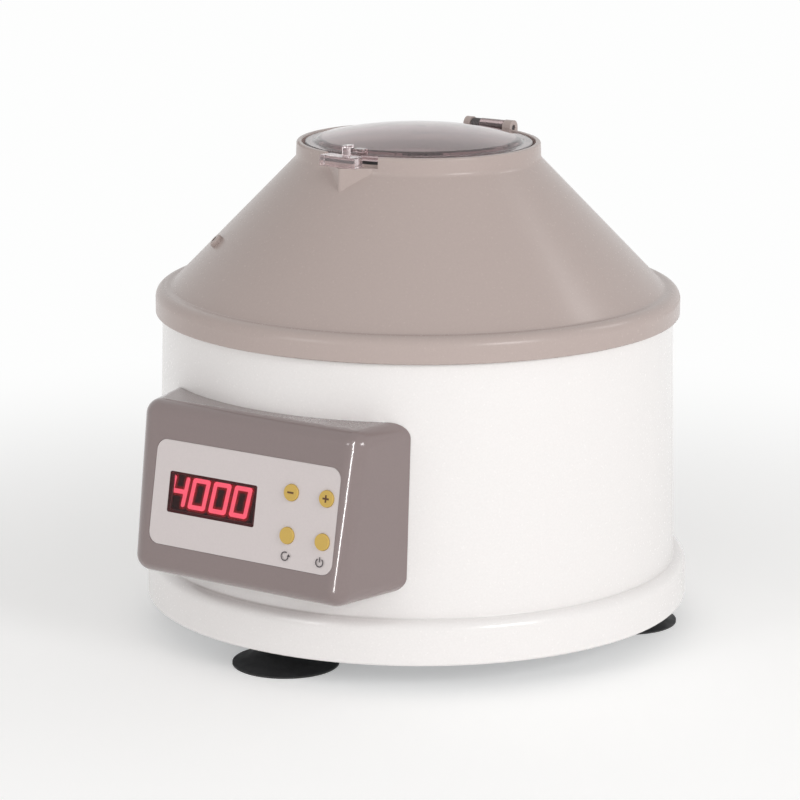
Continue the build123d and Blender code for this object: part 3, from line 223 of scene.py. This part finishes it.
FINISHES = {
    "white_shell": white_shell, "grey_cover": grey_cover, "grey_box": grey_box,
    "clear_plastic": clear_lid, "label_film": label_film, "red_window": window_red,
    "display_black": display_black, "yellow_key": yellow_key, "black_rubber": black_rubber,
    "grey_rubber": grey_rubber, "black_plastic": black_plastic, "steel_plate": steel_plate,
    "zinc_steel": zinc_steel, "bright_steel": bright_steel, "stainless": stainless,
    "cast_aluminium": cast_metal, "sleeve_aluminium": sleeve_metal, "spring_steel": spring_steel,
    "motor_paint": motor_paint, "lamination": lamination, "copper": copper, "brass": brass,
    "carbon": carbon, "board_green": board_green,
}
for part in frame["record"]["subparts"]:
    finish = FINISHES[part["material_slot"]]
    if part["node"] == "latch_slider":
        finish = clear_slider
    if part["node"] == "hinge_pin":
        finish = spring_steel
    for socket in nodes[part["node"]].material_slots:
        socket.material = finish


# ---------------------------------------------------------------- shape helpers


def mesh_piece(name, bm, material, body="cabinet"):
    """Turns a bmesh into a piece that rides on a CAD body."""
    bmesh.ops.recalc_face_normals(bm, faces=bm.faces)
    mesh = bpy.data.meshes.new(name)
    bm.to_mesh(mesh)
    bm.free()
    made = bpy.data.objects.new(name, mesh)
    bpy.context.scene.collection.objects.link(made)
    mesh.materials.append(material)
    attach(made, body)


def prism(bm, outline, low, high, place):
    """Closed prism over a flat outline, moved by a matrix."""
    bottom = [bm.verts.new(place @ Vector((x, y, low))) for x, y in outline]
    top = [bm.verts.new(place @ Vector((x, y, high))) for x, y in outline]
    bm.faces.new(bottom[::-1])
    bm.faces.new(top)
    count = len(outline)
    for index in range(count):
        after = (index + 1) % count
        bm.faces.new((bottom[index], bottom[after], top[after], top[index]))


# ---------------------------------------------------------------- control face

TILT = radians(10.36)
FACE_REACH, FACE_HEIGHT = 0.1438, 0.0862  # the label's middle, from the drum's axis and the bench
FACE = Matrix.Translation((0, AXIS_Y - FACE_REACH, FACE_HEIGHT)) @ Matrix((
    (1, 0, 0, 0), (0, sin(TILT), -cos(TILT), 0), (0, cos(TILT), sin(TILT), 0), (0, 0, 0, 1)))
# in millimetres on the face, from the label's middle
DIGIT_PLACES = (-38.5, -26.8, -14.9, -3.0)
DIGIT_ROW, DIGIT_DEPTH, DIGIT_SLANT = 1.2, -2.78, 0.15
DIGIT_HALF_WIDTH, DIGIT_HALF_HEIGHT, SEGMENT_GAP, SEGMENT_WIDTH = 3.9, 6.3, 0.3, 2.1
KEY_ROW, KEY_COLUMNS, KEY_TOP = 10.0, (25.9, 45.3), 0.9
MARK_ROW, MARK_COLUMNS, MARK_LIFT = -19.0, (25.9, 45.0), 0.4
MARK_RADIUS, MARK_WIDTH = 1.9, 0.5
# in metres: the printed marks' thickness, the lit segments' underside and top above the block
INK, DIGIT_LOW, DIGIT_HIGH = 0.00006, 0.00010, 0.00025
GLOW_RINGS, GLOW_WIDTH, GLOW_STEP, GLOW_RISE = 3, 4.8, 0.9, 0.00002


def on_face(u, v, lift=0.0, slant=0.0):
    """Matrix of a place on the control face, millimetres from the label's middle."""
    lean = Matrix.Identity(4)
    lean[0][1] = slant
    return FACE @ Matrix.Translation((u / 1000, v / 1000, lift / 1000)) @ lean


def bar_outline(x0, y0, x1, y1, width):
    """Bar with round ends between two points, in millimetres."""
    heading = atan2(y1 - y0, x1 - x0)
    corners = []
    steps = 8
    for x, y, turn in ((x1, y1, heading - pi / 2), (x0, y0, heading + pi / 2)):
        for step in range(steps + 1):
            angle = turn + pi * step / steps
            corners.append(((x + cos(angle) * width / 2) / 1000,
                            (y + sin(angle) * width / 2) / 1000))
    return corners


SEGMENTS = {
    "top": (-1, 1, 1, 1), "middle": (-1, 0, 1, 0), "bottom": (-1, -1, 1, -1),
    "upper_left": (-1, 0, -1, 1), "upper_right": (1, 0, 1, 1),
    "lower_left": (-1, -1, -1, 0), "lower_right": (1, -1, 1, 0),
}
SHOWN = {
    4: ("upper_left", "upper_right", "middle", "lower_right"),
    0: ("top", "bottom", "upper_left", "upper_right", "lower_left", "lower_right"),
}


def lit_digits(name, width, low, high, material):
    """Seven-segment digits lying on the display block, behind the window."""
    bm = bmesh.new()
    for column, digit in zip(DIGIT_PLACES, (4, 0, 0, 0)):
        place = on_face(column, DIGIT_ROW, DIGIT_DEPTH, DIGIT_SLANT)
        for segment in SHOWN[digit]:
            x0, y0, x1, y1 = SEGMENTS[segment]
            x0, x1 = x0 * DIGIT_HALF_WIDTH, x1 * DIGIT_HALF_WIDTH
            y0, y1 = y0 * DIGIT_HALF_HEIGHT, y1 * DIGIT_HALF_HEIGHT
            along = Vector((x1 - x0, y1 - y0)).normalized() * SEGMENT_GAP
            corners = bar_outline(x0 + along.x, y0 + along.y, x1 - along.x, y1 - along.y, width)
            prism(bm, corners, low, high, place)
    mesh_piece(name, bm, material)


def key_symbols():
    """Minus and plus on the two upper keys."""
    across, upright = (3.4, 0.85), (0.85, 3.4)
    for name, u, strokes in (("minus", KEY_COLUMNS[0], (across,)),
                             ("plus", KEY_COLUMNS[1], (across, upright))):
        bm = bmesh.new()
        for level, (width, height) in enumerate(strokes):
            x, y = width / 2000, height / 2000
            prism(bm, [(-x, -y), (x, -y), (x, y), (-x, y)], 0, INK,
                  on_face(u, KEY_ROW, KEY_TOP + 0.001 * level))
        mesh_piece(f"{name}_symbol", bm, key_ink, f"button_{name}")


def ring_outline(radius, width, start, end, steps=28):
    """Open ring between two angles, as one outline, in metres."""
    angles = [start + (end - start) * k / steps for k in range(steps + 1)]
    outer = [((radius + width / 2) * cos(a) / 1000, (radius + width / 2) * sin(a) / 1000)
             for a in angles]
    inner = [((radius - width / 2) * cos(a) / 1000, (radius - width / 2) * sin(a) / 1000)
             for a in reversed(angles)]
    return outer + inner


def label_symbols():
    """Generic marks below the two lower keys: a turning arrow and a standby sign."""
    bm = bmesh.new()
    arrow = [(1.2, 0.0), (3.0, 0.0), (2.1, 1.3)]
    stroke = [(-0.25, 0.2), (0.25, 0.2), (0.25, 2.5), (-0.25, 2.5)]
    for column, start, end, mark in ((MARK_COLUMNS[0], 60, 360, arrow),
                                     (MARK_COLUMNS[1], 125, 415, stroke)):
        place = on_face(column, MARK_ROW, MARK_LIFT)
        ring = ring_outline(MARK_RADIUS, MARK_WIDTH, radians(start), radians(end))
        prism(bm, ring, 0.0, INK, place)
        prism(bm, [(x / 1000, y / 1000) for x, y in mark], 0.0, INK, place)
    mesh_piece("label_symbols", bm, dark_ink)


for ring in range(GLOW_RINGS):
    lit_digits(f"digit_glow_{ring + 1}", GLOW_WIDTH - GLOW_STEP * ring, GLOW_RISE * ring,
               GLOW_RISE * (ring + 0.5), digit_glow)
lit_digits("display_digits", SEGMENT_WIDTH, DIGIT_LOW, DIGIT_HIGH, digit_red)
key_symbols()
label_symbols()


# ---------------------------------------------------------------- floor, light and camera

MIDDLE = Vector((0, AXIS_Y, 0.13))  # what the lamps are aimed at
FLOOR_RADIUS, FLOOR_LIFT = 6.0, 0.28
SHADOW_REACH, WHITE_REACH = 0.17, 0.62  # the floor turns evenly white between these distances
BRIGHT_TURN, BRIGHT_REACH, BRIGHT_RISE = radians(42), 0.95, 0.3  # where the world is brightest
WORLD_DIM, WORLD_BRIGHT = 0.22, 0.73
FOCAL_LENGTH, SENSOR_WIDTH = 146.25, 36
CAMERA_X, CAMERA_Y, CAMERA_Z = 0.8519, -1.2939 + AXIS_Y, 0.4716
CAMERA_FORWARD, CAMERA_LEVEL = (-0.5398, 0.8102, -0.2285), (0.8322, 0.5545, 0.0)
CAMERA_ROLL = radians(0.233)


def shows_background(tree):
    """One for the rays that see the backdrop: from the camera, or off metal, or through glass."""
    path = tree.nodes.new("ShaderNodeLightPath")
    total = path.outputs["Is Camera Ray"]
    for kind in ("Is Glossy Ray", "Is Transmission Ray"):
        either = tree.nodes.new("ShaderNodeMath")
        either.operation = "MAXIMUM"
        tree.links.new(total, either.inputs[0])
        tree.links.new(path.outputs[kind], either.inputs[1])
        total = either.outputs["Value"]
    return total


def floor():
    """Pale sheet that keeps the shadow near the object and is even white further out."""
    bm = bmesh.new()
    bmesh.ops.create_circle(bm, cap_ends=True, segments=96, radius=FLOOR_RADIUS)
    mesh = bpy.data.meshes.new("floor")
    bm.to_mesh(mesh)
    bm.free()
    made = bpy.data.objects.new("floor", mesh)
    bpy.context.scene.collection.objects.link(made)
    surface = Surface("floor_paper", (0.86, 0.86, 0.855), 0.95)
    surface.mottle(3, 0.004)
    surface.set(Emission_Color=(1, 1, 1, 1), Emission_Strength=FLOOR_LIFT)
    distance = surface.node("ShaderNodeVectorMath", operation="LENGTH")
    surface.link(surface.coordinates.outputs["Object"], distance.inputs[0])
    spread = surface.node("ShaderNodeMapRange")
    spread.interpolation_type = "SMOOTHSTEP"
    spread.inputs["From Min"].default_value = SHADOW_REACH
    spread.inputs["From Max"].default_value = WHITE_REACH
    surface.link(distance.outputs["Value"], spread.inputs["Value"])
    seen = surface.node("ShaderNodeMath", operation="MULTIPLY")
    surface.link(spread.outputs["Result"], seen.inputs[0])
    surface.link(shows_background(surface.tree), seen.inputs[1])
    white = surface.node("ShaderNodeEmission")
    white.inputs["Color"].default_value = (0.985, 0.988, 0.985, 1)
    mix = surface.node("ShaderNodeMixShader")
    surface.link(seen.outputs["Value"], mix.inputs["Fac"])
    surface.link(surface.shader.outputs["BSDF"], mix.inputs[1])
    surface.link(white.outputs["Emission"], mix.inputs[2])
    surface.link(mix.outputs["Shader"], surface.tree.nodes["Material Output"].inputs["Surface"])
    mesh.materials.append(surface.material)


def world():
    """Soft studio light, brightest from the front and the right; the backdrop itself is white."""
    made = bpy.data.worlds.new("studio")
    bpy.context.scene.world = made
    made.use_nodes = True
    tree = made.node_tree
    tree.nodes.clear()
    output = tree.nodes.new("ShaderNodeOutputWorld")
    lit = tree.nodes.new("ShaderNodeBackground")
    lit.inputs["Color"].default_value = (1.0, 0.99, 0.98, 1)
    coordinates = tree.nodes.new("ShaderNodeTexCoord")
    towards = tree.nodes.new("ShaderNodeVectorMath")
    towards.operation = "DOT_PRODUCT"
    towards.inputs[1].default_value = (
        sin(BRIGHT_TURN) * BRIGHT_REACH, -cos(BRIGHT_TURN) * BRIGHT_REACH, BRIGHT_RISE)
    tree.links.new(coordinates.outputs["Generated"], towards.inputs[0])
    level = tree.nodes.new("ShaderNodeMapRange")
    level.inputs["From Min"].default_value = -1.0
    level.inputs["To Min"].default_value = WORLD_DIM
    level.inputs["To Max"].default_value = WORLD_BRIGHT
    tree.links.new(towards.outputs["Value"], level.inputs["Value"])
    tree.links.new(level.outputs["Result"], lit.inputs["Strength"])
    seen = tree.nodes.new("ShaderNodeBackground")
    seen.inputs["Color"].default_value = (0.975, 0.98, 0.978, 1)
    seen.inputs["Strength"].default_value = 1.0
    mix = tree.nodes.new("ShaderNodeMixShader")
    tree.links.new(shows_background(tree), mix.inputs["Fac"])
    tree.links.new(lit.outputs["Background"], mix.inputs[1])
    tree.links.new(seen.outputs["Background"], mix.inputs[2])
    tree.links.new(mix.outputs["Shader"], output.inputs["Surface"])


def lamp(name, azimuth, elevation, distance, size, power, shine_on=None):
    """Soft box aimed at the middle, azimuth from the front; or a highlight on one node."""
    light = bpy.data.lights.new(name, "AREA")
    light.shape = "RECTANGLE"
    light.size, light.size_y = size
    light.energy = power
    turn, rise = radians(azimuth), radians(elevation)
    away = Vector((sin(turn) * cos(rise), -cos(turn) * cos(rise), sin(rise)))
    made = bpy.data.objects.new(name, light)
    made.location = MIDDLE + away * distance
    made.rotation_euler = away.to_track_quat("Z", "Y").to_euler()
    if shine_on:
        made.visible_diffuse = False
        receiver = bpy.data.collections.new(f"{name}_receiver")
        receiver.objects.link(nodes[shine_on])
        made.light_linking.receiver_collection = receiver
    bpy.context.scene.collection.objects.link(made)


def camera():
    """A long lens a little above the bench, on the object's front right."""
    lens = bpy.data.cameras.new("camera")
    lens.lens = FOCAL_LENGTH
    lens.sensor_width = SENSOR_WIDTH
    made = bpy.data.objects.new("camera", lens)
    forward = Vector(CAMERA_FORWARD).normalized()
    level = Vector(CAMERA_LEVEL)
    level = (level - forward * level.dot(forward)).normalized()
    above = level.cross(forward)
    right = level * cos(CAMERA_ROLL) + above * sin(CAMERA_ROLL)
    up = above * cos(CAMERA_ROLL) - level * sin(CAMERA_ROLL)
    made.matrix_world = Matrix((
        (right.x, up.x, -forward.x, CAMERA_X), (right.y, up.y, -forward.y, CAMERA_Y),
        (right.z, up.z, -forward.z, CAMERA_Z), (0, 0, 0, 1)))
    bpy.context.scene.collection.objects.link(made)
    bpy.context.scene.camera = made


bpy.context.scene.view_settings.view_transform = "Standard"
floor()
world()
lamp("right_box", azimuth=72, elevation=20, distance=1.5, size=(0.5, 0.35), power=6.3)
lamp("left_box", azimuth=-14, elevation=18, distance=1.5, size=(0.42, 0.3), power=2.0)
lamp("edge_strip", azimuth=18, elevation=14, distance=1.5, size=(0.07, 1.3), power=18,
     shine_on="control_box")
lamp("rim_strip", azimuth=137, elevation=38, distance=1.3, size=(0.10, 0.4), power=1.3,
     shine_on="top_cover")
camera()
